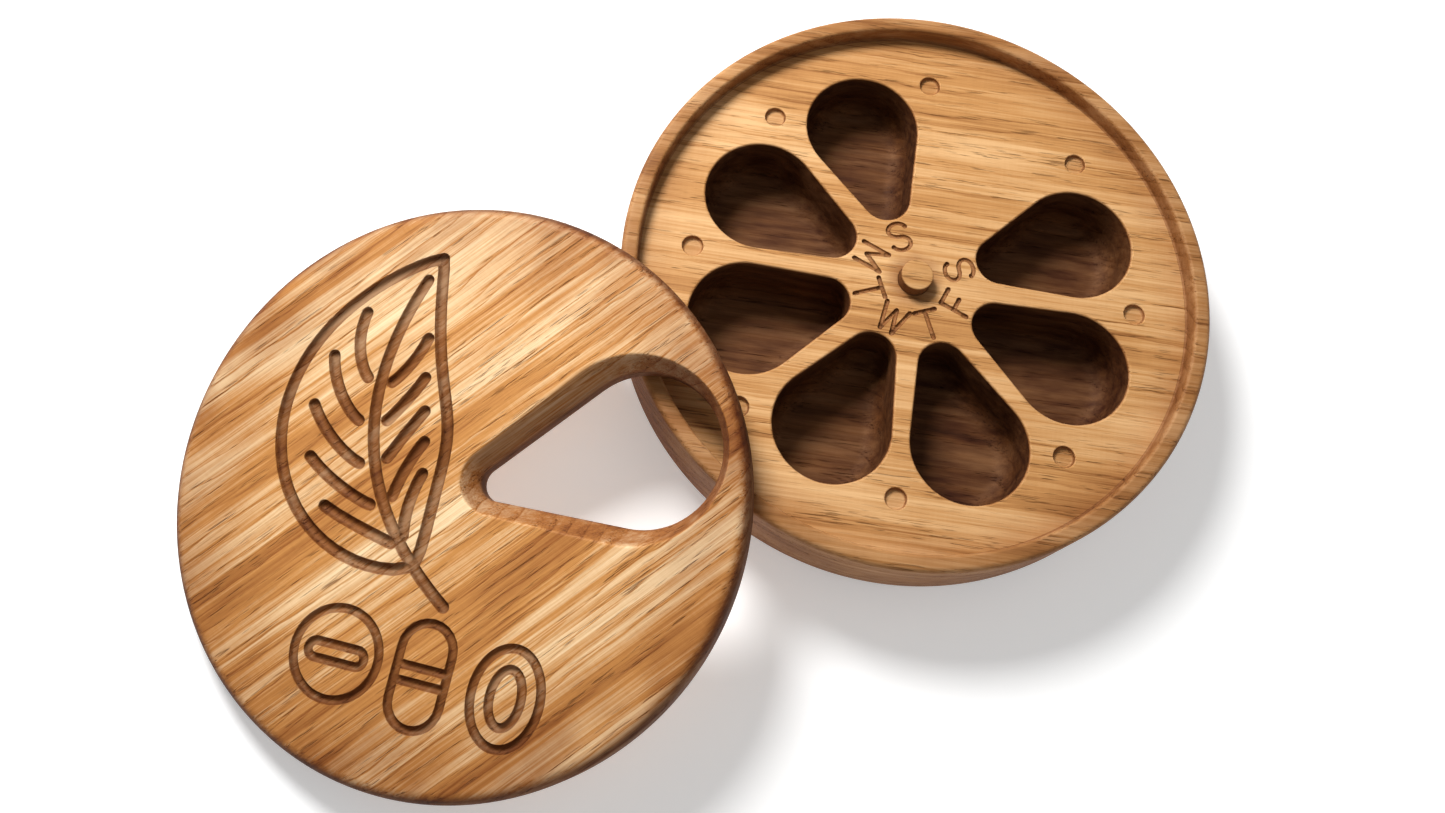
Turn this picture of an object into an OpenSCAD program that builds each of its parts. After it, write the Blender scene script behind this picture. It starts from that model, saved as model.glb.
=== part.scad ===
// Round seven-day pill tray of oiled hardwood, with a turning lid.
// Frame: origin at the centre of the tray's flat bottom, +Z up. The lid lies at -X: its far edge
// stands on the ground and its underside leans on the tray's rim.

/* [Tray] */
// Outside diameter of the tray
tray_d = 120; // [112:1:130]
// Height of the tray, bottom to rim
tray_h = 22; // [20:0.5:26]
// Width of the rim round the recess
rim_w = 3.4; // [3:0.1:5]
// Depth of the recess that the lid drops into
recess_h = 4; // [3:0.5:5]
// Turn of the blank eighth about the tray's axis, in degrees
tray_turn = 33; // [0:1:44]

/* [Pockets] */
// Number of equal sectors, one of which is blank
sectors = 8; // [8]
// Depth of each pocket below the recess floor
pocket_h = 13; // [8:0.5:14]
// Radius of a pocket's wide end
pocket_wide_r = 11.8; // [10:0.1:11.9]
// Radius of a pocket's narrow end
pocket_tip_r = 5; // [4:0.1:5.5]
// Distance from the tray's axis to the centre of the wide end
pocket_wide_at = 35.7; // [35:0.1:37]
// Distance from the tray's axis to the centre of the narrow end
pocket_tip_at = 19; // [18:0.1:20]

/* [Pivot and detent] */
// Diameter of the centre pin
pin_d = 6.6; // [6:0.2:8]
// Height of the centre pin above the recess floor
pin_up = 3.2; // [2:0.1:3.5]
// Distance from the tray's axis to the detent dimples and ball
dimple_at = 45.7; // [45:0.1:47]
// Diameter of a detent dimple
dimple_d = 4.3; // [4:0.1:5]
// Depth of a detent dimple
dimple_h = 1; // [0.8:0.1:1.5]
// Diameter of the detent ball
ball_d = 4; // [3.8:0.1:4]
// How far the ball stands out of the lid's underside
ball_out = 0.8; // [0.6:0.1:0.8]

/* [Lid] */
// Thickness of the lid
lid_t = 8; // [7.5:0.5:9]
// Radial gap between the lid and the recess wall
lid_gap = 1; // [0.8:0.1:1.5]
// Radius of the rounded top edge
lid_top_r = 2.5; // [1:0.5:3]
// Radius of the eased bottom edge
lid_bottom_r = 1; // [0.5:0.5:1.5]
// Direction of the window in the lid, from the line to the tray, in degrees
window_turn = -15; // [-20:1:0]
// Radius of the window's wide end
window_wide_r = 14.8; // [13:0.1:15]
// Radius of the window's narrow end
window_tip_r = 3.4; // [3:0.1:4]
// Distance from the lid's axis to the centre of the wide end
window_wide_at = 36.2; // [34:0.1:36.5]
// Distance from the lid's axis to the centre of the narrow end
window_tip_at = 7.8; // [7.8:0.1:8.5]
// Angle at which the lid leans on the tray's rim, in degrees
lean = 13.4; // [10:0.1:16]

/* [Hidden] */
$fn = 96;
cut = 1;                            // how far a cutting tool runs past a face
hair = 0.002;                       // smallest step in an outline
tray_r = tray_d / 2;
tray_foot_r = 6;                    // rounding of the tray's lower outside edge
rim_r = 1.2;                        // rounding of the rim's outside edge
recess_r = tray_r - rim_w;
floor_z = tray_h - recess_h;
sector = 360 / sectors;
pin_r = pin_d / 2;
pin_down = 5;                       // length of the pin below the recess floor
pin_fit = 0.05;                     // radial running clearance of the pin in the tray
pin_end = 0.1;                      // gap under the pin
pin_edge = 0.4;                     // chamfer on the pin's top
lid_r = recess_r - lid_gap;
socket_r = pin_r + 0.35;            // blind hole in the lid that drops over the pin
socket_h = 4;
ball_r = ball_d / 2;
ball_z = ball_r - ball_out;         // ball centre above the lid's underside
ball_fit = 0.05;                    // radial running clearance of the ball in its sleeve
sleeve_r = 2.6;
sleeve_h = 5.4;
sleeve_cap = 0.5;                   // thickness of the sleeve's closed end
sleeve_lip_r = ball_r - 0.1;        // mouth that keeps the ball in
sleeve_lip_h = 0.3;
spring_wire = 0.35;
spring_gap = 0.1;                   // room between the spring and what it stands against
spring_r = 1.3;                     // radius of the spring's wire centre line
spring_turns = 3;
spring_steps = 16;                  // rings in one turn of the spring
wire_sides = 8;
lean_gap = 0.3;                     // room between the leaning lid and the rim

// The leaning lid: its lowest edge is on the ground, its underside just clears the rim.
lid_z = (lid_r - lid_bottom_r) * sin(lean) + lid_bottom_r * (1 - cos(lean));
lid_x = -(tray_r - rim_r) - ((tray_h - rim_r - lid_z) * cos(lean) + rim_r + lean_gap) / sin(lean);

// Where the lid lies sideways. Closing turns it by a few degrees, onto the nearest sector.
ball_turn = window_turn + sector / 2;
close_turn = tray_turn - sector - window_turn;
ball_rest_x = lid_x + dimple_at * cos(ball_turn) * cos(lean) - ball_z * sin(lean);
ball_shut_x = dimple_at * cos(ball_turn + close_turn);
ball_shut_y = dimple_at * sin(ball_turn + close_turn);
lid_y = ball_shut_y - tan(close_turn / 2) * (ball_shut_x - ball_rest_x) - dimple_at * sin(ball_turn);

// Half of a disc's section, with a rounded top and bottom edge.
module disc_section(r, h, top, bottom) {
    translate([0, bottom]) square([r, h - top - bottom]);
    translate([0, bottom]) square([r - top, h - bottom]);
    square([r - bottom, h - top]);
    translate([r - top, h - top]) circle(top);
    translate([r - bottom, bottom]) circle(bottom);
}

// Outline of two circles on the X axis and the two straight lines that touch both. The lines lie
// a hair inside the circles, so that line and arc cross instead of only touching.
module teardrop(tip_r, tip_at, wide_r, wide_at) {
    a = asin((wide_r - tip_r) / (wide_at - tip_at));
    tip = tip_r - hair;
    wide = wide_r - hair;
    translate([tip_at, 0]) circle(tip_r);
    translate([wide_at, 0]) circle(wide_r);
    polygon([
        [tip_at - tip * sin(a), tip * cos(a)],
        [wide_at - wide * sin(a), wide * cos(a)],
        [wide_at - wide * sin(a), -wide * cos(a)],
        [tip_at - tip * sin(a), -tip * cos(a)]
    ]);
}

// One pocket's hollow, with its bottom at z = 0.
module pocket() {
    linear_extrude(pocket_h + cut)
        teardrop(pocket_tip_r, pocket_tip_at, pocket_wide_r, pocket_wide_at);
}

module tray() {
    color("burlywood")
    difference() {
        rotate_extrude() disc_section(tray_r, tray_h, rim_r, tray_foot_r);
        translate([0, 0, floor_z]) cylinder(r = recess_r, h = recess_h + cut);
        translate([0, 0, floor_z - pin_down - pin_end])
            cylinder(r = pin_r + pin_fit, h = pin_down + recess_h);
        for (k = [1 : sectors - 1])
            rotate([0, 0, tray_turn + k * sector])
                translate([0, 0, floor_z - pocket_h])
                    pocket();
        for (k = [0 : sectors - 1])
            rotate([0, 0, tray_turn + (k + 0.5) * sector])
                translate([dimple_at, 0, floor_z - dimple_h])
                    cylinder(d = dimple_d, h = dimple_h + cut);
    }
}

module centre_pin() {
    color("tan")
    translate([0, 0, floor_z - pin_down]) {
        cylinder(r = pin_r, h = pin_down + pin_up - pin_edge);
        translate([0, 0, pin_down + pin_up - pin_edge])
            cylinder(r1 = pin_r, r2 = pin_r - pin_edge, h = pin_edge);
    }
}

// Puts a piece that is drawn on the lid's own axes where the leaning lid is.
module at_lid() {
    translate([lid_x, lid_y, lid_z])
        rotate([0, -lean, 0])
            children();
}

// Puts a piece on the detent's axis in the lid.
module at_detent() {
    at_lid()
        rotate([0, 0, ball_turn])
            translate([dimple_at, 0, 0])
                children();
}

module lid() {
    color("peru")
    at_lid()
        difference() {
            rotate_extrude() disc_section(lid_r, lid_t, lid_top_r, lid_bottom_r);
            rotate([0, 0, window_turn])
                translate([0, 0, -cut])
                    linear_extrude(lid_t + 2 * cut)
                        teardrop(window_tip_r, window_tip_at, window_wide_r, window_wide_at);
            translate([0, 0, -cut]) cylinder(r = socket_r, h = socket_h + cut);
            rotate([0, 0, ball_turn])
                translate([dimple_at, 0, -cut])
                    cylinder(r = sleeve_r, h = sleeve_h + cut);
        }
}

module detent_sleeve() {
    color("goldenrod")
    at_detent()
        difference() {
            cylinder(r = sleeve_r, h = sleeve_h);
            translate([0, 0, -cut]) cylinder(r = sleeve_lip_r, h = sleeve_lip_h + 2 * cut);
            translate([0, 0, sleeve_lip_h])
                cylinder(r = ball_r + ball_fit, h = sleeve_h - sleeve_lip_h - sleeve_cap);
        }
}

// Wire swept along a helix about the Z axis, from z = 0 to z = h at its centre line.
module helix(r, h, turns, wire_r) {
    steps = turns * spring_steps;
    slope = atan2(h, turns * 2 * PI * r);
    points = [
        for (i = [0 : steps], j = [0 : wire_sides - 1])
            let (
                t = 360 * i / spring_steps,
                w = 360 * j / wire_sides,
                out = wire_r * cos(w),
                up = wire_r * sin(w)
            )
            [
                (r + out) * cos(t) + up * sin(slope) * sin(t),
                (r + out) * sin(t) - up * sin(slope) * cos(t),
                h * i / steps + up * cos(slope)
            ]
    ];
    sides = [
        for (i = [0 : steps - 1], j = [0 : wire_sides - 1])
            let (k = (j + 1) % wire_sides, a = i * wire_sides, b = (i + 1) * wire_sides)
            [a + j, b + j, b + k, a + k]
    ];
    first = [for (j = [0 : wire_sides - 1]) j];
    last = [for (j = [wire_sides - 1 : -1 : 0]) steps * wire_sides + j];
    polyhedron(points, concat([first], sides, [last]), convexity = 6);
}

module detent_spring() {
    wire_r = spring_wire / 2;
    low = ball_z + ball_r + spring_gap + wire_r;
    high = sleeve_h - sleeve_cap - spring_gap - wire_r;
    color("silver")
    at_detent()
        translate([0, 0, low])
            helix(spring_r, high - low, spring_turns, wire_r);
}

module detent_ball() {
    color("lightgray")
    at_detent()
        translate([0, 0, ball_z])
            sphere(r = ball_r);
}

tray();
centre_pin();
lid();
detent_sleeve();
detent_spring();
detent_ball();
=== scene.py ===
"""Looks of a round seven-day pill tray of oiled oak and its turning lid.

Shapes are worked out in millimetres and degrees, in the part's frame or on the lid's own axes, and
become metres when a piece is built. Z is up, and the tray stands on Z = 0.
"""

import math
from collections import namedtuple
from functools import reduce

import bmesh
import bpy
import numpy as np
from mathutils import Euler, Matrix, Vector
from mathutils.geometry import delaunay_2d_cdt


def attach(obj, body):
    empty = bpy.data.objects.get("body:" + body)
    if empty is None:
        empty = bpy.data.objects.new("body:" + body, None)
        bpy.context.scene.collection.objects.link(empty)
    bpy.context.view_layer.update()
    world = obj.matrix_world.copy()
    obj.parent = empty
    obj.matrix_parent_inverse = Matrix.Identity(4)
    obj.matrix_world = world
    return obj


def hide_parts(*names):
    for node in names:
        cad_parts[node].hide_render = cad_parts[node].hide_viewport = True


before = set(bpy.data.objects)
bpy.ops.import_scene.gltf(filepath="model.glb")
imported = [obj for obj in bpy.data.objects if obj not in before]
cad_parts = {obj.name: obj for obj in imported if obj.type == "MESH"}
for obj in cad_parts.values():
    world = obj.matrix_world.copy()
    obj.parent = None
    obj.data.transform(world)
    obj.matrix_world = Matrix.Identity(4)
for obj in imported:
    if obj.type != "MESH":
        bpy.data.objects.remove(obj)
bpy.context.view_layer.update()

MM = 0.001

# Sizes that the CAD part has too
TRAY_R = 60
TRAY_H = 22
FOOT_R = 6
RIM_R = 1.2
RECESS_R = 56.6
FLOOR_Z = 18
SECTORS = 8
SECTOR = 360 / SECTORS
TRAY_TURN = 33
POCKET = dict(tip_r=5, tip_at=19, wide_r=11.8, wide_at=35.7)
POCKET_H = 13
DIMPLE_AT = 45.7
DIMPLE_R = 2.15
DIMPLE_H = 1
PIN_R = 3.3
PIN_LOW = 13
PIN_HIGH = 21.2
PIN_HOLE_R = 3.35
PIN_HOLE_GAP = 0.1
LID_R = 55.6
LID_T = 8
LID_TOP_R = 2.5
LID_LOW_R = 1
WINDOW = dict(tip_r=3.4, tip_at=7.8, wide_r=14.8, wide_at=36.2)
WINDOW_TURN = -15
SOCKET_R = 3.65
SOCKET_H = 4
DETENT_TURN = WINDOW_TURN + SECTOR / 2
SLEEVE_R = 2.6
SLEEVE_H = 5.4
SLEEVE_BORE_R = 2.05
SLEEVE_CAP = 0.5
SLEEVE_LIP_R = 1.9
SLEEVE_LIP_H = 0.3
BALL_R = 2
BALL_Z = 1.2
SPRING_R = 1.3
SPRING_WIRE_R = 0.175
SPRING_TURNS = 3
SPRING_GAP = 0.1
LEAN = 13.4
LEAN_GAP = 0.3
CLOSE_TURN = TRAY_TURN - SECTOR - WINDOW_TURN

# Roundings that only the visual model has. The pin's dome has two rings, given by their shares of
# the pin's radius and of the crown's height below the top.
RIM_INNER_R = 0.8
FLOOR_FILLET = 0.4
POCKET_EDGE = 0.5
POCKET_FILLET = 4.2
DIMPLE_EDGE = 0.25
DIMPLE_FILLET = 0.6
PIN_HOLE_EDGE = 0.12
PIN_HOLE_FILLET = 0.1
PIN_FOOT = 0.3
PIN_EDGE = 0.3
PIN_CROWN = 0.1
PIN_DOME = (0.6, 0.3), (0.25, 0)
SLEEVE_MOUTH_R = 0.12
SLEEVE_LOW_R = 0.25
SLEEVE_TOP_R = 0.3
SLEEVE_INSET = 0.02

# The lip of the lid's window: how wide it is, how steep, and its roundings
LIP_WIDE = 3.4
LIP_SLOPE = 50
LIP_EDGE_R = 0.7
LIP_BEND_R = 3
LIP_LOW_R = 0.4

# The depth over which the lip darkens, where the darkening of the wall below starts, and its depth
LIP_SHADE_H = 0.4
WALL_SHADE_TOP = 2.5
WALL_SHADE_H = 2

# Carving. Half is half a groove's width, and a dot's length is a share of its stroke's last step.
# The angles place the rings of points across a groove, and the rim is where its depth becomes 0.
GROOVE_ANGLES = (90, 68, 46, 23)
GROOVE_RIM = 0.975
LETTER_AT = 9.85
LETTER_H = 5.8
LETTER_W = 4.3
LETTER_HALF = 0.48
LETTER_DEPTH = 0.5
DOT_HALF = 0.52
DOT_DEPTH = 0.65
DOT_LENGTH = 0.1
MOTIF_TURN = -40
MOTIF_HALF = 1.2
MOTIF_DEPTH = 1.15
BADGE_HALF = 0.9
BADGE_DEPTH = 0.9
LEAF_STALK = 0.12
LEAF_WIDE = 18.5
LEAF_NARROW = 14.5
LEAF_ROUND = 0.85
LEAF_VEINS = 5
VEIN_FIRST = 0.2
VEIN_GAP = 0.115
MIDRIB_END = 0.94

# Meshes: the gap to a guard loop, the distance within which points are welded, how far the lid's
# edge keeps inside the CAD part's, and the steepest turn that is shaded smooth
GUARD = 0.06
WELD = 0.003
LID_INSET = 0.01
SMOOTH_TURN = 32

# How far the wood is darkened, from 0 to 1: painted shade, with darker wood in the carving
POCKET_DARK_WOOD_AND_SHADE = 1
LETTER_DARK_WOOD_AND_SHADE = 0.72
DOT_DARK_WOOD_AND_SHADE = 0.9
DIMPLE_DARK_WOOD_AND_SHADE = 0.6
GROOVE_DARK_WOOD_AND_SHADE = 0.95
GROOVE_FLOOR_PALE = 0.22
RIM_PAINTED_SHADE = 0.2
WINDOW_PAINTED_SHADE = 0.85
LIP_PAINTED_SHADE = 0.5
SIDE_PAINTED_SHADE = 0.5
FOOT_PAINTED_SHADE = 0.9
LID_SIDE_PAINTED_SHADE = 0.75
PIN_PAINTED_SHADE = 0.75
PIN_HOLE_PAINTED_SHADE = 0.5

# Pale, honey and brown of each oak piece, and the colours that darken them
TRAY_COLOURS = (0.72, 0.43, 0.198), (0.51, 0.247, 0.082), (0.28, 0.11, 0.03)
PIN_COLOURS = (0.66, 0.395, 0.18), (0.47, 0.232, 0.078), (0.24, 0.093, 0.026)
LID_COLOURS = (0.88, 0.65, 0.385), (0.56, 0.25, 0.069), (0.3, 0.1, 0.023)
END_GRAIN = (0.5, 0.36, 0.26, 1)
# Tint for grime from handling together with painted shade, darker outward
GRIME_AND_SHADE = (0.46, 0.33, 0.26, 1)
# Tints for darker wood together with painted shade, from none to the darkest
DARK_WOOD_AND_SHADE_TINTS = [(0.0, (1, 1, 1)), (0.5, (0.54, 0.435, 0.385)), (1.0, (0.072, 0.03, 0.018))]


# Outlines and profiles

def polar(r, angle, centre=(0, 0)):
    """The point at distance r and the given angle from the centre."""
    a = math.radians(angle)
    return centre[0] + r * math.cos(a), centre[1] + r * math.sin(a)


def arc(centre, r, start, end, steps):
    """Points of an arc, both ends included."""
    return [polar(r, start + (end - start) * i / steps, centre) for i in range(steps + 1)]


def circle(r, centre=(0, 0), steps=64):
    """Points of a whole circle."""
    return arc(centre, r, 0, 360, steps)[:-1]


def round_outline(centre=(0, 0), steps=64):
    """An outline for Shell.wall whose offset is the radius."""
    return lambda r: circle(r, centre, steps)


def turned(points, angle):
    """The points turned about the origin."""
    c, s = polar(1, angle)
    return [(c * x - s * y, s * x + c * y) for x, y in points]


def between(a, b, steps):
    """Points that divide the line from a to b, without its ends."""
    return [tuple(Vector(a).lerp(Vector(b), i / steps)) for i in range(1, steps)]


def teardrop(grow, turn, tip_r, tip_at, wide_r, wide_at):
    """Outline round two circles, moved outward by grow."""
    spread = 90 + math.degrees(math.asin((wide_r - tip_r) / (wide_at - tip_at)))
    wide = arc((wide_at, 0), wide_r + grow, -spread, spread, 56)
    tip = arc((tip_at, 0), tip_r + grow, spread, 360 - spread, 24)
    sides = between(wide[-1], tip[0], 10), between(tip[-1], wide[0], 10)
    return turned(wide + sides[0] + tip + sides[1], turn)


def hole_profile(top, edge, bottom, fillet, r=0):
    """Steps (offset, height) down a hole's wall, with a rounded edge and a filleted bottom. The
    offset is from the hole's outline, or from its axis if its radius r is given."""
    steps = (
        arc((edge, top - edge), edge, 90, 180, 5)
        + arc((-fillet, bottom + fillet), fillet, 0, -90, 10)
    )
    return [(offset + r, z) for offset, z in steps]


def inside(points, loop):
    """Which of the points lie inside the closed loop."""
    a = np.array(loop)
    b = np.roll(a, -1, axis=0)
    x, y = points[:, 0, None], points[:, 1, None]
    spans = (a[:, 1] > y) != (b[:, 1] > y)
    rise = np.where(a[:, 1] == b[:, 1], 1, b[:, 1] - a[:, 1])
    left = x < a[:, 0] + (y - a[:, 1]) * (b[:, 0] - a[:, 0]) / rise
    return (spans & left).sum(axis=1) % 2 == 1


# Carved grooves

# A groove's last field is how far it darkens the wood: darker wood and painted shade together.
Groove = namedtuple("Groove", "line closed half depth burn")


def groove_loops(groove, reach):
    """Outlines of the band that reaches so far to each side of the groove's line."""
    points = [Vector(p) for p in groove.line]
    count = len(points)
    left, right = [], []
    for i, point in enumerate(points):
        before = points[i - 1] if groove.closed or i else point
        after = points[(i + 1) % count] if groove.closed or i < count - 1 else point
        along = (after - before).normalized()
        across = Vector((-along.y, along.x)) * reach
        left.append(tuple(point + across))
        right.append(tuple(point - across))
    if groove.closed:
        return [left, right]
    caps = []
    for end, inner in ((points[-1], points[-2]), (points[0], points[1])):
        out = math.degrees(math.atan2(end.y - inner.y, end.x - inner.x))
        caps.append(arc(end, reach, out + 90, out - 90, 8)[1:-1])
    return [left + caps[0] + right[::-1] + caps[1]]


def groove_distance(points, groove):
    """Distance of each point from the groove's line."""
    line = np.array(groove.line)
    a = line if groove.closed else line[:-1]
    d = (np.roll(line, -1, axis=0) if groove.closed else line[1:]) - a
    rel = points[:, None] - a
    t = np.clip((rel * d).sum(axis=2) / (d * d).sum(axis=1), 0, 1)
    return np.linalg.norm(rel - t[..., None] * d, axis=2).min(axis=1)


def carve(points, grooves):
    """Depth and darkening at each point, from a round-nosed cutter run along the grooves. The
    darkening is the wood's own plus painted shade: darkest half-way down their sides, and paler
    again on their floors, which face up."""
    depth = np.zeros(len(points))
    burn = np.zeros(len(points))
    for g in grooves:
        nose = (g.half ** 2 + g.depth ** 2) / (2 * g.depth)
        d = np.minimum(groove_distance(points, g), g.half)
        cut = np.sqrt(nose ** 2 - d ** 2) - (nose - g.depth)
        cut[d > g.half * GROOVE_RIM] = 0
        depth = np.maximum(depth, cut)
        pale = GROOVE_FLOOR_PALE * (1 - (d / g.half) ** 2)
        burn = np.maximum(burn, g.burn * np.minimum(1, 2 * cut / g.depth) * (1 - pale))
    return depth, burn


# Surfaces

class Shell:
    """A closed surface put together from rings of points."""

    def __init__(self):
        self.points = []
        self.burn = []
        self.faces = []

    def add(self, points, burn):
        """Adds points and returns their numbers."""
        first = len(self.points)
        self.points += points
        self.burn += burn
        return list(range(first, len(self.points)))

    def wall(self, outline, profile, burn=lambda z: 0):
        """Joins rings of outline(offset) at each step of the profile. Returns the end rings."""
        rings = []
        for offset, z in profile:
            ring = [(x, y, z) for x, y in outline(offset)]
            rings.append(self.add(ring, [burn(z)] * len(ring)))
        for a, b in zip(rings, rings[1:]):
            self.faces += list(zip(a, a[1:] + a[:1], b[1:] + b[:1], b))
        return rings[0], rings[-1]

    def face(self, rim, holes=(), grooves=(), guards=(), up=True, burn=0):
        """A flat face between the rim and the holes, with grooves carved in it. Guards are loops
        close to a rounded edge, which keep the face flat up to them."""
        z = self.points[rim[0]][2]
        flat, edges, known = [], [], []

        def constrain(loop, numbers=None, closed=True):
            """Makes the face's triangles follow a loop, and returns the loop as it was stored."""
            first = len(flat)
            flat.extend(Vector(p[:2]) for p in loop)
            known.extend(numbers or [None] * len(loop))
            edges.extend((i, i + 1) for i in range(first, len(flat) - 1))
            if closed:
                edges.append((len(flat) - 1, first))
            return [tuple(p) for p in flat[first:]]

        outline, *gaps = [
            constrain([self.points[i] for i in ring], ring) for ring in (rim, *holes)
        ]
        for loop in guards:
            constrain(loop)
        for g in grooves:
            constrain(g.line, closed=g.closed)
            for angle in GROOVE_ANGLES:
                for loop in groove_loops(g, g.half * math.sin(math.radians(angle))):
                    constrain(loop)
        found, _, triangles, origins, _, _ = delaunay_2d_cdt(flat, edges, [], 0, WELD)

        xy = np.array([tuple(p) for p in found])
        depth, dark = carve(xy, grooves)
        numbers = []
        for i, origin in enumerate(origins):
            same = [known[o] for o in origin if known[o] is not None]
            new = (xy[i][0], xy[i][1], z - depth[i])
            numbers.append(same[0] if same else self.add([new], [max(burn, dark[i])])[0])

        triangles = np.array(triangles)
        centres = xy[triangles].mean(axis=1)
        kept = inside(centres, outline)
        for gap in gaps:
            kept &= ~inside(centres, gap)
        for triangle in triangles[kept]:
            corners = [numbers[i] for i in triangle]
            self.faces.append(corners if up else corners[::-1])

    def blind_hole(self, outline, profile, burn):
        """Cuts a hole with a flat bottom and returns its top ring."""
        top, bottom = self.wall(outline, profile, burn)
        self.face(bottom, burn=burn(profile[-1][1]))
        return top

    def build(self, name, place=None):
        """The surface as an object, with its points in the part's frame, in metres."""
        place = place or Matrix.Identity(4)
        mesh = bpy.data.meshes.new(name)
        mesh.from_pydata([place @ (Vector(p) * MM) for p in self.points], [], self.faces)
        # Each point keeps how far its wood is darkened: darker wood and painted shade together.
        mesh.attributes.new("burn", "FLOAT", "POINT").data.foreach_set("value", self.burn)
        welded = bmesh.new()
        welded.from_mesh(mesh)
        bmesh.ops.remove_doubles(welded, verts=welded.verts, dist=WELD * MM)
        welded.to_mesh(mesh)
        welded.free()
        mesh.shade_smooth()
        mesh.set_sharp_from_angle(angle=math.radians(SMOOTH_TURN))
        piece = bpy.data.objects.new(name, mesh)
        bpy.context.scene.collection.objects.link(piece)
        return piece


# Tray

def letter_lines():
    """The strokes of the seven day initials, each letter in a box from -0.5 to 0.5."""
    bow, stretch = 0.26, 1.75
    upper = [(stretch * x, y) for x, y in arc((0, bow), bow, 20, 270, 20)]
    lower = [(stretch * x, y) for x, y in arc((0, -bow), bow, 90, -160, 20)]
    s = [upper + lower[1:]]
    m = [[(-0.5, -0.5), (-0.5, 0.5)], [(-0.5, 0.5), (0, -0.2)],
         [(0, -0.2), (0.5, 0.5)], [(0.5, 0.5), (0.5, -0.5)]]
    t = [[(-0.5, 0.5), (0.5, 0.5)], [(0, 0.5), (0, -0.5)]]
    w = [[(-0.6, 0.5), (-0.3, -0.5)], [(-0.3, -0.5), (0, 0.35)],
         [(0, 0.35), (0.3, -0.5)], [(0.3, -0.5), (0.6, 0.5)]]
    f = [[(-0.35, 0.5), (-0.35, -0.5)], [(-0.35, 0.5), (0.45, 0.5)], [(-0.35, 0), (0.25, 0)]]
    return [s, m, t, w, t, f, s]


def letter_grooves():
    """The day initials round the pin, their tops toward it. The cutter went deeper at stroke
    ends, which leaves a dot there."""
    grooves = []
    for day, letter in enumerate(letter_lines()):
        turn = TRAY_TURN + SECTOR * (day + 1)
        for stroke in letter:
            line = [(LETTER_AT - v * LETTER_H, u * LETTER_W) for u, v in stroke]
            line = turned(line, turn)
            grooves.append(Groove(line, False, LETTER_HALF, LETTER_DEPTH, LETTER_DARK_WOOD_AND_SHADE))
            for end, inner in ((line[0], line[1]), (line[-1], line[-2])):
                dot = [end, tuple(Vector(end).lerp(Vector(inner), DOT_LENGTH))]
                grooves.append(Groove(dot, False, DOT_HALF, DOT_DEPTH, DOT_DARK_WOOD_AND_SHADE))
    return grooves


def tray_shade(z):
    """Painted shade: darkest at the foot, lightest on the rim, and darker again down into the
    recess.
    """
    foot = max(0, 1 - z / FOOT_R)
    rim = max(0, (z - FLOOR_Z) / (TRAY_H - FLOOR_Z))
    return SIDE_PAINTED_SHADE + (FOOT_PAINTED_SHADE - SIDE_PAINTED_SHADE) * foot + (RIM_PAINTED_SHADE - SIDE_PAINTED_SHADE) * rim


def pocket_shade(z):
    """The wood's own darkening plus painted shade, dark all the way down from the rounded edge."""
    return POCKET_DARK_WOOD_AND_SHADE * min(1, (FLOOR_Z - z) / POCKET_EDGE)


def dimple_shade(z):
    """The wood's own darkening plus painted shade, darkest half-way down the wall."""
    t = min(1, (FLOOR_Z - z) / DIMPLE_H)
    return DIMPLE_DARK_WOOD_AND_SHADE * min(1, 4 * t * (1 - t) + 0.3 * t)


def cut_pockets(shell):
    """Cuts the pockets. Returns their top rings and a guard loop round each."""
    side = hole_profile(FLOOR_Z, POCKET_EDGE, FLOOR_Z - POCKET_H, POCKET_FILLET)
    rings, guards = [], []
    for day in range(1, SECTORS):
        turn = TRAY_TURN + day * SECTOR
        rings.append(
            shell.blind_hole(lambda grow: teardrop(grow, turn, **POCKET), side, pocket_shade)
        )
        guards.append(teardrop(POCKET_EDGE + GUARD, turn, **POCKET))
    return rings, guards


def cut_dimples(shell):
    """Cuts the detent dimples. Returns their top rings and a guard loop round each."""
    side = hole_profile(FLOOR_Z, DIMPLE_EDGE, FLOOR_Z - DIMPLE_H, DIMPLE_FILLET, DIMPLE_R)
    rings, guards = [], []
    for gap in range(SECTORS):
        centre = polar(DIMPLE_AT, TRAY_TURN + (gap + 0.5) * SECTOR)
        rings.append(shell.blind_hole(round_outline(centre, 40), side, dimple_shade))
        guards.append(circle(DIMPLE_R + DIMPLE_EDGE + GUARD, centre, 40))
    return rings, guards


def make_tray():
    """The tray: foot, side, rim and recess, with everything that is cut into the recess floor."""
    shell = Shell()
    side = (
        arc((TRAY_R - FOOT_R, FOOT_R), FOOT_R, -90, 0, 12)
        + arc((TRAY_R - RIM_R, TRAY_H - RIM_R), RIM_R, 0, 90, 8)
        + arc((RECESS_R + RIM_INNER_R, TRAY_H - RIM_INNER_R), RIM_INNER_R, 90, 180, 7)
        + arc((RECESS_R - FLOOR_FILLET, FLOOR_Z + FLOOR_FILLET), FLOOR_FILLET, 0, -90, 5)
    )
    foot, floor = shell.wall(round_outline(steps=256), side, tray_shade)
    shell.face(foot, guards=[circle(TRAY_R - FOOT_R - 1, steps=128)], up=False)
    pockets, pocket_guards = cut_pockets(shell)
    dimples, dimple_guards = cut_dimples(shell)
    pin_side = hole_profile(
        FLOOR_Z, PIN_HOLE_EDGE, PIN_LOW - PIN_HOLE_GAP, PIN_HOLE_FILLET, PIN_HOLE_R
    )
    # The gap round the pin is darkened all the way down: painted shade.
    pin_hole = shell.blind_hole(round_outline(), pin_side, lambda z: PIN_HOLE_PAINTED_SHADE)
    floor_guard = circle(RECESS_R - FLOOR_FILLET - GUARD, steps=256)
    shell.face(floor, pockets + dimples + [pin_hole], letter_grooves(),
               [floor_guard] + pocket_guards + dimple_guards)
    return shell.build("tray_body")


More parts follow.
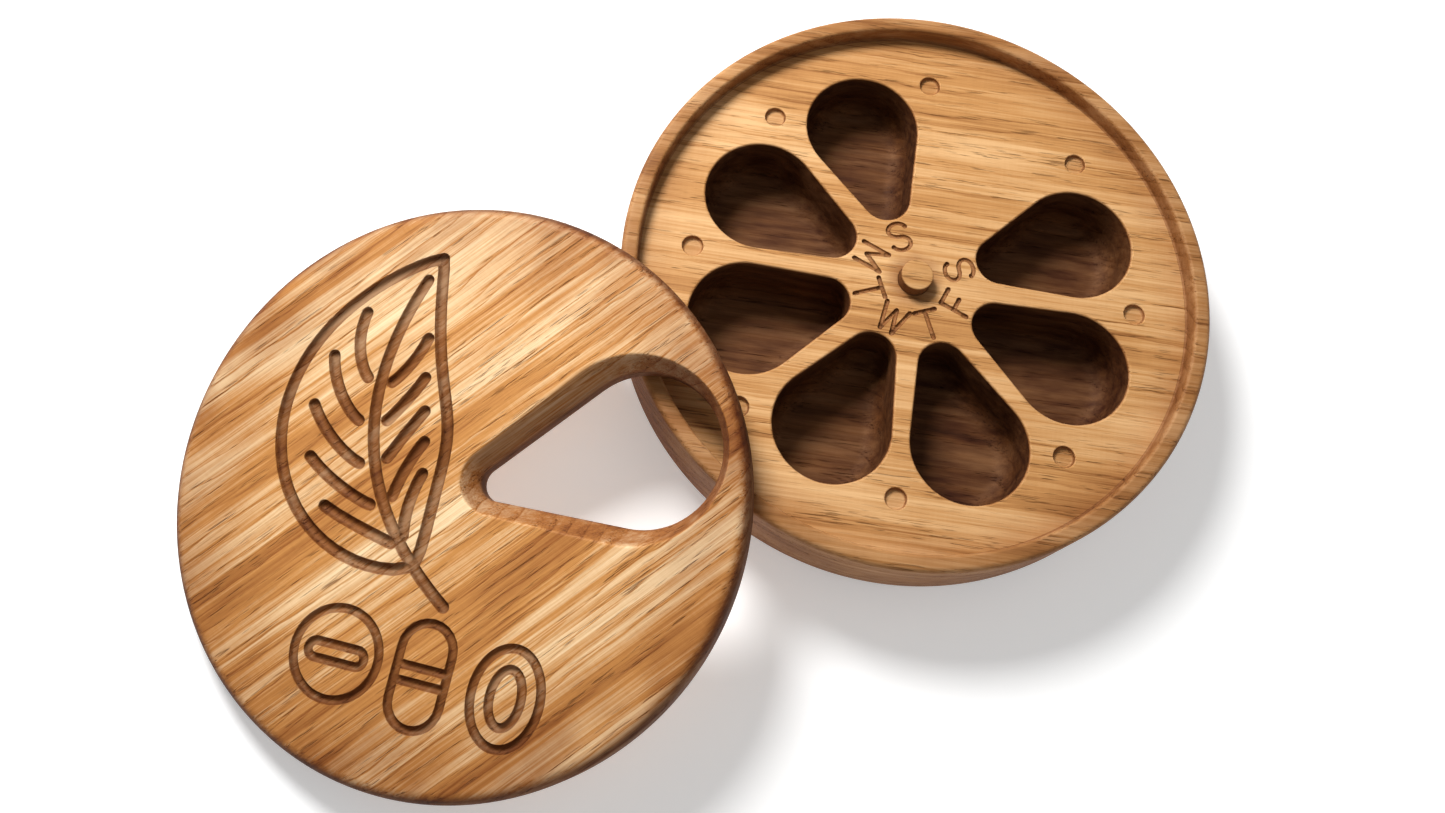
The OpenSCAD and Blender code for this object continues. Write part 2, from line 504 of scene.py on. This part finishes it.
def pin_shade(z):
    """Painted shade, pale on top and dark down the side."""
    return PIN_PAINTED_SHADE * max(0, min(1, (PIN_HIGH - PIN_CROWN - z) / PIN_EDGE))


def make_pin():
    """The centre pin, with a slightly domed top."""
    shell = Shell()
    shoulder = (PIN_R - PIN_EDGE, PIN_HIGH - PIN_CROWN - PIN_EDGE)
    side = [(PIN_R - PIN_FOOT, PIN_LOW), (PIN_R, PIN_LOW + PIN_FOOT), (PIN_R, FLOOR_Z + 1)]
    side += arc(shoulder, PIN_EDGE, 0, 90, 6)
    side += [(PIN_R * share, PIN_HIGH - PIN_CROWN * drop) for share, drop in PIN_DOME]
    low, high = shell.wall(round_outline(), side, pin_shade)
    shell.face(low, up=False)
    shell.face(high)
    return shell.build("pivot_dowel")


# Lid

def lid_place():
    """The leaning lid's place: its low edge on the ground, its underside just clear of the rim."""
    lean = math.radians(LEAN)
    z = (LID_R - LID_LOW_R) * math.sin(lean) + LID_LOW_R * (1 - math.cos(lean))
    drop = (TRAY_H - RIM_R - z) * math.cos(lean) + RIM_R + LEAN_GAP
    x = -(TRAY_R - RIM_R) - drop / math.sin(lean)
    rest = polar(DIMPLE_AT, DETENT_TURN)
    shut = polar(DIMPLE_AT, DETENT_TURN + CLOSE_TURN)
    ball_x = x + rest[0] * math.cos(lean) - BALL_Z * math.sin(lean)
    y = shut[1] - math.tan(math.radians(CLOSE_TURN / 2)) * (shut[0] - ball_x) - rest[1]
    return Matrix.Translation(Vector((x, y, z)) * MM) @ Matrix.Rotation(-lean, 4, "Y")


def leaf_point(t, across):
    """A point of the leaf: t runs from the stalk's foot to the tip, across from edge to edge."""
    foot, bend, tip = Vector((4, -21)), Vector((-31, 2)), Vector((-14, 43))
    centre = foot.lerp(bend, t).lerp(bend.lerp(tip, t), t)
    along = (bend - foot).lerp(tip - bend, t).normalized()
    blade = max(0, (t - LEAF_STALK) / (1 - LEAF_STALK))
    swell = math.sin(math.pi * blade ** LEAF_ROUND) ** LEAF_ROUND
    half = (LEAF_WIDE if across > 0 else LEAF_NARROW) * swell
    return tuple(centre + Vector((-along.y, along.x)) * half * across)


def leaf_vein(start, side):
    """A vein that starts beside the midrib, curves toward the tip and stops short of the edge."""
    sweep, curl, near, far = 0.15, 1.15, 0.17, 0.69
    return [leaf_point(start + sweep * (i / 10) ** curl, side * (near + (far - near) * i / 10))
            for i in range(11)]


def leaf_lines():
    """One large leaf: its midrib, its two edges and its veins."""
    lines = [[leaf_point(MIDRIB_END * i / 40, 0) for i in range(41)]]
    for side in (-1, 1):
        lines.append([leaf_point(LEAF_STALK + (1 - LEAF_STALK) * i / 40, side) for i in range(41)])
        lines += [leaf_vein(VEIN_FIRST + VEIN_GAP * vein, side) for vein in range(LEAF_VEINS)]
    return lines


def stadium(centre, r, half, turn):
    """Outline of a bar with round ends."""
    ends = arc((half, 0), r, -90, 90, 12) + arc((-half, 0), r, 90, 270, 12)
    return [(centre[0] + x, centre[1] + y) for x, y in turned(ends, turn)]


def ellipse(centre, across, up):
    """Outline of an ellipse, from its two half-widths."""
    return [(centre[0] + across * x, centre[1] + up * y) for x, y in circle(1, steps=56)]


def badge_lines():
    """Three tablets in a row under the leaf: round and scored, a capsule with two bands, and an
    oval in an oval. Returns the closed lines and the open ones."""
    tablet, capsule, oval = (-13.5, -33.5), (3.2, -33.7), (19.5, -33.7)
    tablet_r, capsule_r, band = 8.2, 4.9, 1.4
    closed = [
        ellipse(tablet, tablet_r, tablet_r),
        stadium(tablet, r=1.5, half=4, turn=0),
        stadium(capsule, r=capsule_r, half=4.6, turn=90),
        ellipse(oval, 6.4, 8.8),
        ellipse(oval, 2.9, 5.1),
    ]
    bands = [
        [(capsule[0] - capsule_r, y), (capsule[0] + capsule_r, y)]
        for y in (capsule[1] - band, capsule[1] + band)
    ]
    return closed, bands


def lid_grooves():
    """Every groove in the lid's top."""
    closed, bands = badge_lines()
    motif = [Groove(turned(line, MOTIF_TURN), False, MOTIF_HALF, MOTIF_DEPTH, GROOVE_DARK_WOOD_AND_SHADE)
             for line in leaf_lines()]
    badges = [Groove(turned(line, MOTIF_TURN), whole_loop, BADGE_HALF, BADGE_DEPTH, GROOVE_DARK_WOOD_AND_SHADE)
              for whole_loop, lines in ((True, closed), (False, bands)) for line in lines]
    return motif + badges


def window(grow):
    """Outline of the window. Toward the lid's edge it grows half as much as elsewhere."""
    return teardrop(grow, WINDOW_TURN, **dict(WINDOW, wide_at=WINDOW["wide_at"] - grow / 2))


def lip_profile():
    """Steps down the window's wall: a soft edge, a slope, a bend and an upright wall."""
    edge = arc((LIP_WIDE, LID_T - LIP_EDGE_R), LIP_EDGE_R, 90, 90 + LIP_SLOPE, 6)
    bend = arc((LIP_BEND_R, 0), LIP_BEND_R, 90 + LIP_SLOPE, 180, 8)
    drop = (edge[-1][0] - bend[0][0]) * math.tan(math.radians(LIP_SLOPE))
    lift = edge[-1][1] - drop - bend[0][1]
    bend = [(x, z + lift) for x, z in bend]
    low = arc((LIP_LOW_R, LIP_LOW_R), LIP_LOW_R, 180, 270, 5)
    return edge + between(edge[-1], bend[0], 4) + bend + low


def lip_shade(z):
    """Painted shade: lightly darkened on the slope, and dark on the wall below it."""
    depth = LID_T - z
    lip = LIP_PAINTED_SHADE * min(1, depth / LIP_SHADE_H)
    wall = WINDOW_PAINTED_SHADE * min(1, (depth - WALL_SHADE_TOP) / WALL_SHADE_H)
    return max(lip, wall)


def lid_shade(z):
    """Painted shade, pale on top and at its darkest a third of the way down the rounded edge."""
    return LID_SIDE_PAINTED_SHADE * min(1, 3.5 * (LID_T - z) / LID_TOP_R)


def cut_socket(shell, r, h, centre=(0, 0), steps=64):
    """Cuts a plain hole up into the lid's underside and returns its mouth."""
    ceiling, mouth = shell.wall(round_outline(centre, steps), [(r, h), (r, 0)])
    shell.face(ceiling, up=False)
    return mouth


def make_lid(place):
    """The lid: carved on top, open at the window, with two blind holes in its underside."""
    shell = Shell()
    outer = LID_R - LID_INSET
    side = (
        arc((outer - LID_LOW_R, LID_LOW_R), LID_LOW_R, -90, 0, 7)
        + arc((outer - LID_TOP_R, LID_T - LID_TOP_R), LID_TOP_R, 0, 90, 12)
    )
    low, top = shell.wall(round_outline(steps=256), side, lid_shade)
    window_top, window_low = shell.wall(window, lip_profile(), lip_shade)
    guards = [circle(outer - LID_TOP_R - GUARD, steps=256), window(LIP_WIDE + GUARD)]
    shell.face(top, [window_top], lid_grooves(), guards)
    pin_mouth = cut_socket(shell, SOCKET_R, SOCKET_H)
    sleeve_mouth = cut_socket(shell, SLEEVE_R, SLEEVE_H, polar(DIMPLE_AT, DETENT_TURN), 48)
    guards = [circle(outer - LID_LOW_R - GUARD, steps=256), window(LIP_LOW_R + GUARD)]
    shell.face(low, [window_low, pin_mouth, sleeve_mouth], guards=guards, up=False)
    return shell.build("lid_body", place)


# Detent

def make_sleeve(place):
    """A closed brass cup with an inward lip at its mouth."""
    shell = Shell()
    mouth = (SLEEVE_LIP_R + SLEEVE_MOUTH_R, SLEEVE_INSET + SLEEVE_MOUTH_R)
    low = (SLEEVE_R - SLEEVE_LOW_R, SLEEVE_INSET + SLEEVE_LOW_R)
    high = (SLEEVE_R - SLEEVE_TOP_R, SLEEVE_H - SLEEVE_TOP_R)
    side = [(SLEEVE_BORE_R, SLEEVE_H - SLEEVE_CAP), (SLEEVE_BORE_R, SLEEVE_LIP_H)]
    side += arc(mouth, SLEEVE_MOUTH_R, 170, 270, 5)
    side += arc(low, SLEEVE_LOW_R, -90, 0, 5)
    side += arc(high, SLEEVE_TOP_R, 0, 90, 5)
    inner, top = shell.wall(round_outline(steps=72), side)
    shell.face(inner, up=False)
    shell.face(top)
    return shell.build("detent_cup", place)


def make_ball(place):
    """The steel ball, built in rings that stop just short of its poles."""
    shell = Shell()
    low, high = shell.wall(round_outline(steps=72), arc((0, BALL_Z), BALL_R, -89, 89, 40))
    shell.face(low, up=False)
    shell.face(high)
    return shell.build("detent_bead", place)


def make_spring(place):
    """Wire swept along a helix, with rounded ends."""
    low = BALL_Z + BALL_R + SPRING_GAP + SPRING_WIRE_R
    high = SLEEVE_H - SLEEVE_CAP - SPRING_GAP - SPRING_WIRE_R
    steps, sides, rounded = SPRING_TURNS * 40, 12, 3
    slope = math.atan2(high - low, SPRING_TURNS * math.tau * SPRING_R)
    shell = Shell()
    rings = []
    for i in range(steps + 1):
        t = i / steps
        from_end = min(1, (min(i, steps - i) + 0.6) / rounded)
        wire_r = SPRING_WIRE_R * math.sqrt(1 - (1 - from_end) ** 2)
        around = math.tau * SPRING_TURNS * t
        ring = []
        for out, up in circle(wire_r, steps=sides):
            back = up * math.sin(slope)
            ring.append((
                (SPRING_R + out) * math.cos(around) + back * math.sin(around),
                (SPRING_R + out) * math.sin(around) - back * math.cos(around),
                low + (high - low) * t + up * math.cos(slope),
            ))
        rings.append(shell.add(ring, [0] * sides))
    for a, b in zip(rings, rings[1:]):
        shell.faces += list(zip(a, b, b[1:] + b[:1], a[1:] + a[:1]))
    shell.faces += [rings[0], rings[-1][::-1]]
    return shell.build("detent_coil", place)


# Materials

class Nodes:
    """Short calls that build one material's nodes."""

    def __init__(self, name):
        self.material = bpy.data.materials.new(name)
        self.material.use_nodes = True
        self.tree = self.material.node_tree
        self.shader = self.tree.nodes["Principled BSDF"]
        coordinates = self.add("TexCoord").outputs
        self.place = coordinates["Object"]
        self.normal = coordinates["Normal"]

    def put(self, socket, value):
        """Links a socket to another, or sets its own value."""
        if isinstance(value, bpy.types.NodeSocket):
            self.tree.links.new(value, socket)
        else:
            socket.default_value = value

    def add(self, kind, settings=None, **inputs):
        """A node with its settings and its inputs, named with _ for a space."""
        node = self.tree.nodes.new("ShaderNode" + kind)
        for key, value in (settings or {}).items():
            setattr(node, key, value)
        for key, value in inputs.items():
            self.put(node.inputs[key.replace("_", " ")], value)
        return node

    def calc(self, operation, a, b=0.0, clamp=False):
        """Arithmetic on two numbers."""
        node = self.add("Math", {"operation": operation, "use_clamp": clamp})
        self.put(node.inputs[0], a)
        self.put(node.inputs[1], b)
        return node.outputs[0]

    def total(self, *values):
        """All the values added up."""
        return reduce(lambda a, b: self.calc("ADD", a, b), values)

    def product(self, *values):
        """All the values multiplied together."""
        return reduce(lambda a, b: self.calc("MULTIPLY", a, b), values)

    def vector_calc(self, operation, a, b=(0, 0, 0)):
        """A number worked out from one or two vectors."""
        node = self.add("VectorMath", {"operation": operation})
        self.put(node.inputs[0], a)
        self.put(node.inputs[1], b)
        return node.outputs["Value"]

    def in_axes(self, matrix, unit):
        """The place in the axes of a matrix, in the unit given for each."""
        return self.add("Mapping", {"vector_type": "TEXTURE"}, Vector=self.place, Scale=unit,
                        Location=matrix.translation, Rotation=matrix.to_euler()).outputs[0]

    def remap(self, value, low, high, to_low=0.0, to_high=1.0):
        """A value moved from one range to another and kept in it."""
        return self.add("MapRange", Value=value, From_Min=low, From_Max=high,
                        To_Min=to_low, To_Max=to_high).outputs[0]

    def noise(self, vector, scale, detail, roughness=0.5):
        """Noise with its own scale along each axis, from 0 to 1."""
        placed = self.add("Mapping", Vector=vector, Scale=scale).outputs[0]
        return self.add("TexNoise", Vector=placed, Scale=1.0, Detail=detail,
                        Roughness=roughness).outputs["Fac"]

    def patches(self, vector, scale, detail, low, high, to_low=0.0, to_high=1.0):
        """Noise moved from one range to another and kept in it."""
        return self.remap(self.noise(vector, scale, detail), low, high, to_low, to_high)

    def ramp(self, factor, stops):
        """A colour ramp through (position, colour) stops."""
        node = self.add("ValToRGB", Fac=factor)
        ramp = node.color_ramp
        ramp.elements[0].position, ramp.elements[1].position = stops[0][0], stops[-1][0]
        for position, _ in stops[1:-1]:
            ramp.elements.new(position)
        for element, (_, colour) in zip(ramp.elements, stops):
            element.color = (*colour, 1)
        return node.outputs["Color"]

    def mix(self, factor, a, b, blend="MIX"):
        """Two colours mixed, or the second blended over the first."""
        node = self.add("Mix", {"data_type": "RGBA", "blend_type": blend})
        self.put(node.inputs["Factor"], factor)
        self.put(node.inputs[6], a)
        self.put(node.inputs[7], b)
        return node.outputs[2]

    def bump(self, height, distance, strength=1.0):
        """Raises the surface's shading by a height."""
        node = self.add("Bump", Height=height, Distance=distance, Strength=strength)
        self.put(self.shader.inputs["Normal"], node.outputs[0])

    def surface(self, **inputs):
        """Sets the shader's inputs, named with _ for a space, and returns the material."""
        for key, value in inputs.items():
            self.put(self.shader.inputs[key.replace("_", " ")], value)
        return self.material


def year_rings(n, grain, gap):
    """The porous early wood of each year's ring and the thin dark line where it starts. The plank
    was cut beside the pith, at the sides given, and the rings sway along it."""
    pith_y, pith_z = 95.0, 60.0
    axes = n.add("SeparateXYZ", Vector=grain).outputs
    sway = n.patches(grain, (0.012, 0.04, 0.04), 1.0, 0, 1, -4, 4)
    meander = n.patches(grain, (0.055, 0.07, 0.07), 3.0, 0.2, 0.8, -1, 1)
    y = n.total(axes["Y"], sway, meander, pith_y)
    z = n.total(axes["Z"], pith_z)
    from_pith = n.calc("SQRT", n.total(n.calc("POWER", y, 2.0), n.calc("POWER", z, 2.0)))
    outward = n.add("CombineXYZ", X=from_pith).outputs[0]
    uneven = n.patches(outward, (0.11, 1, 1), 2.0, 0.2, 0.8, 0, 3)
    ring = n.calc("FRACT", n.total(n.calc("DIVIDE", from_pith, gap), uneven))
    early = n.product(n.remap(ring, 0.0, 0.1), n.remap(ring, 0.62, 0.2))
    line = n.product(n.remap(ring, 0.0, 0.05), n.remap(ring, 0.15, 0.08))
    return early, line


def oak_tone(n, grain, fibre, early, line, contrast):
    """Where the wood lies between brown (0) and pale (1)."""
    light = n.total(
        n.patches(grain, (0.006, 0.05, 0.05), 2.0, 0.3, 0.7, -0.15, 0.15),
        n.patches(grain, (0.01, 0.2, 0.2), 2.0, 0.3, 0.7, -0.13, 0.13),
        n.remap(fibre, 0.3, 0.7, -0.12, 0.12),
        n.patches(grain, (0.016, 0.8, 0.8), 3.0, 0.3, 0.7, -0.1, 0.1),
        n.patches(grain, (1.6, 0.15, 0.15), 2.0, 0.3, 0.7, -0.012, 0.012),
    )
    broken = n.patches(grain, (0.02, 0.28, 0.28), 3.0, 0.36, 0.6)
    streak = n.product(n.total(n.product(early, 0.1), n.product(line, 0.19)), broken)
    hair = n.product(n.patches(grain, (0.05, 4.2, 4.2), 2.0, 0.52, 0.68),
                     n.remap(early, 0, 1, 0.08, 0.29))
    smudge = n.patches(grain, (0.02, 0.05, 0.05), 3.0, 0.54, 0.74, 0, 0.2)
    tone = n.calc("SUBTRACT", light, n.total(streak, hair, smudge))
    return n.calc("ADD", n.product(tone, contrast), 0.68, clamp=True)


def wood(name, disc, fibre_turn, shift, colours, contrast, ring_gap, grime_and_shade=None):
    """Oiled oak. Disc is the place of the turned piece, fibre_turn the turn of its fibres, and
    shift the part of the plank it comes from. Colours are pale, honey and brown. The last argument
    gives the two radii, in millimetres, between which the wood darkens outward, and how far: grime
    from handling together with painted shade."""
    n = Nodes(name)
    pale, honey, brown = colours
    plank = (disc @ Matrix.Rotation(math.radians(fibre_turn), 4, "Z")
             @ Matrix.Translation(Vector(shift) * MM))
    grain = n.in_axes(plank, (MM, MM, MM))
    early, line = year_rings(n, grain, ring_gap)
    fibre = n.noise(grain, (0.03, 2.2, 2.2), 4.0, 0.65)
    pore = n.product(n.patches(grain, (0.2, 3.2, 3.2), 1.0, 0.6, 0.7),
                     n.remap(early, 0, 1, 0.2, 1))

    tone = oak_tone(n, grain, fibre, early, line, contrast)
    colour = n.ramp(tone, [(0.0, brown), (0.5, honey), (1.0, pale)])
    colour = n.mix(n.product(pore, 0.6), colour, (*[0.4 * c for c in brown], 1))

    along = plank.to_3x3() @ Vector((1, 0, 0))
    facing = n.calc("ABSOLUTE", n.vector_calc("DOT_PRODUCT", n.normal, along))
    colour = n.mix(n.remap(facing, 0.35, 0.95, 0, 0.45), colour, END_GRAIN, "MULTIPLY")
    # Darker outward between the two radii: grime from handling together with painted shade.
    if grime_and_shade:
        start, end, strength = grime_and_shade
        from_axis = n.vector_calc("LENGTH", n.in_axes(disc, (MM, MM, 1)))
        dark = n.product(n.remap(from_axis, start, end, 0, strength),
                         n.patches(grain, (0.05, 0.09, 0.09), 3.0, 0.3, 0.65, 0.25, 1.0))
        colour = n.mix(dark, colour, GRIME_AND_SHADE, "MULTIPLY")
    # Each point's darkening, darker wood and painted shade together, broken up by noise and tinted
    # brown.
    burn = n.product(
        n.add("Attribute", {"attribute_name": "burn"}).outputs["Fac"],
        n.patches(grain, (0.1, 0.55, 0.55), 3.0, 0.3, 0.7, 0.84, 1.0),
        n.patches(grain, (0.03, 0.05, 0.05), 2.0, 0.35, 0.6, 0.89, 1.0),
    )
    colour = n.mix(1.0, colour, n.ramp(burn, DARK_WOOD_AND_SHADE_TINTS), "MULTIPLY")

    rough = n.total(n.remap(fibre, 0.3, 0.7, 0.44, 0.58), n.product(pore, 0.2),
                    n.product(burn, 0.2))
    n.bump(n.calc("SUBTRACT", n.product(fibre, 0.5), pore), 0.00012)
    return n.surface(Base_Color=colour, Roughness=rough, Specular_IOR_Level=0.22,
                     Specular_Tint=(1, 0.8, 0.66, 1))


def metal(name, colour, tarnish, smooth, rough, scale):
    """Metal with fine tool marks of the scale given along each axis, and a faint tarnish."""
    n = Nodes(name)
    marks = n.noise(n.place, scale, 3.0, 0.6)
    n.bump(marks, 0.00001, 0.4)
    dull = n.patches(n.place, (700, 700, 700), 3.0, 0.4, 0.75)
    return n.surface(Base_Color=n.mix(dull, (*colour, 1), (*tarnish, 1)), Metallic=1.0,
                     Roughness=n.remap(marks, 0.3, 0.7, smooth, rough))


def paper():
    """The pale floor, which glows a little more where the lamps don't reach."""
    n = Nodes("floor_paper")
    tooth = n.noise(n.place, (260, 260, 260), 4.0)
    n.bump(tooth, 0.0001, 0.2)
    away = n.vector_calc("LENGTH", n.place)
    return n.surface(Base_Color=n.mix(tooth, (0.86, 0.86, 0.855, 1), (0.9, 0.9, 0.895, 1)),
                     Roughness=0.9, Emission_Color=(1, 1, 1, 1),
                     Emission_Strength=n.remap(away, 0.25, 0.9, 0.34, 0.75))


def dress(piece, material, body, node):
    """Gives a piece its material and its place in the part."""
    piece.data.materials.append(material)
    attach(piece, body)
    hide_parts(node)


# Studio

def area_light(name, azimuth, elevation, distance, size, power, target):
    """A round lamp that faces the target."""
    light = bpy.data.lights.new(name, "AREA")
    light.shape = "DISK"
    light.size = size
    light.energy = power
    x, y = polar(distance * math.cos(math.radians(elevation)), azimuth)
    lamp = bpy.data.objects.new(name, light)
    lamp.location = target + Vector((x, y, distance * math.sin(math.radians(elevation))))
    lamp.rotation_euler = (target - lamp.location).to_track_quat("-Z", "Y").to_euler()
    bpy.context.scene.collection.objects.link(lamp)


def make_floor():
    """A pale floor a hair under the tray, so that the two don't flicker."""
    half, low = 15, -0.00005
    mesh = bpy.data.meshes.new("floor")
    corners = [(-half, -half, low), (half, -half, low), (half, half, low), (-half, half, low)]
    mesh.from_pydata(corners, [], [(0, 1, 2, 3)])
    floor = bpy.data.objects.new("floor", mesh)
    bpy.context.scene.collection.objects.link(floor)
    floor.data.materials.append(paper())


def make_world():
    """Soft light from all round: a pale horizon that meets the floor, dimmer overhead."""
    world = bpy.data.worlds.new("studio")
    world.use_nodes = True
    nodes, links = world.node_tree.nodes, world.node_tree.links
    direction = nodes.new("ShaderNodeTexCoord").outputs["Generated"]
    axes = nodes.new("ShaderNodeSeparateXYZ")
    links.new(direction, axes.inputs[0])
    level = nodes.new("ShaderNodeMapRange")
    links.new(axes.outputs["Z"], level.inputs["Value"])
    ranges = {"From Min": 0, "From Max": 0.3, "To Min": 1.0, "To Max": 0.2}
    for name, value in ranges.items():
        level.inputs[name].default_value = value
    background = nodes["Background"].inputs
    links.new(level.outputs[0], background["Strength"])
    background["Color"].default_value = (1, 1, 1, 1)
    bpy.context.scene.world = world


def make_camera():
    """The camera, where the photo's perspective puts it."""
    data = bpy.data.cameras.new("camera")
    data.lens = 33.16
    data.sensor_width = 36
    data.shift_x = 0.0327
    data.shift_y = -0.0714
    data.clip_start = 0.01
    camera = bpy.data.objects.new("camera", data)
    camera.location = (-0.10278, -0.06040, 0.26690)
    camera.rotation_euler = Euler([math.radians(a) for a in (20.565, -3.742, -26.455)])
    bpy.context.scene.collection.objects.link(camera)
    bpy.context.scene.camera = camera


# The part

whole = Matrix.Identity(4)
lid_at = lid_place()
detent_at = (lid_at @ Matrix.Rotation(math.radians(DETENT_TURN), 4, "Z")
             @ Matrix.Translation((DIMPLE_AT * MM, 0, 0)))

tray_wood = wood("tray_oak", whole, fibre_turn=-34, shift=(0, 0, 0), colours=TRAY_COLOURS,
                 contrast=1.5, ring_gap=3.0, grime_and_shade=(49, 57, 0.6))
pin_wood = wood("pin_oak", whole, fibre_turn=-34, shift=(30, 17, 0), colours=PIN_COLOURS,
                contrast=1.3, ring_gap=2.6)
lid_wood = wood("lid_oak", lid_at, fibre_turn=8, shift=(200, 10, 30), colours=LID_COLOURS,
                contrast=1.45, ring_gap=2.8, grime_and_shade=(35, 56, 1))
brass = metal("turned_brass", colour=(0.72, 0.52, 0.24), tarnish=(0.5, 0.33, 0.15),
              smooth=0.2, rough=0.38, scale=(900, 900, 9000))
spring_steel = metal("drawn_steel", colour=(0.6, 0.6, 0.61), tarnish=(0.42, 0.42, 0.43),
                     smooth=0.25, rough=0.4, scale=(4000, 4000, 900))
ball_steel = metal("polished_steel", colour=(0.76, 0.76, 0.78), tarnish=(0.66, 0.66, 0.68),
                   smooth=0.06, rough=0.14, scale=(1500, 1500, 1500))

dress(make_tray(), tray_wood, "tray", "tray")
dress(make_pin(), pin_wood, "pivot", "centre_pin")
dress(make_lid(lid_at), lid_wood, "lid", "lid")
dress(make_sleeve(detent_at), brass, "lid", "detent_sleeve")
dress(make_spring(detent_at), spring_steel, "lid", "detent_spring")
dress(make_ball(detent_at), ball_steel, "detent", "detent_ball")

make_floor()
make_world()
focus = Vector((-0.045, 0.0, 0.015))
area_light("key", azimuth=93, elevation=48, distance=0.46, size=0.17, power=3.1, target=focus)
area_light("fill", azimuth=-20, elevation=70, distance=1.1, size=0.8, power=0.9, target=focus)
make_camera()
bpy.context.scene.view_settings.view_transform = "Standard"
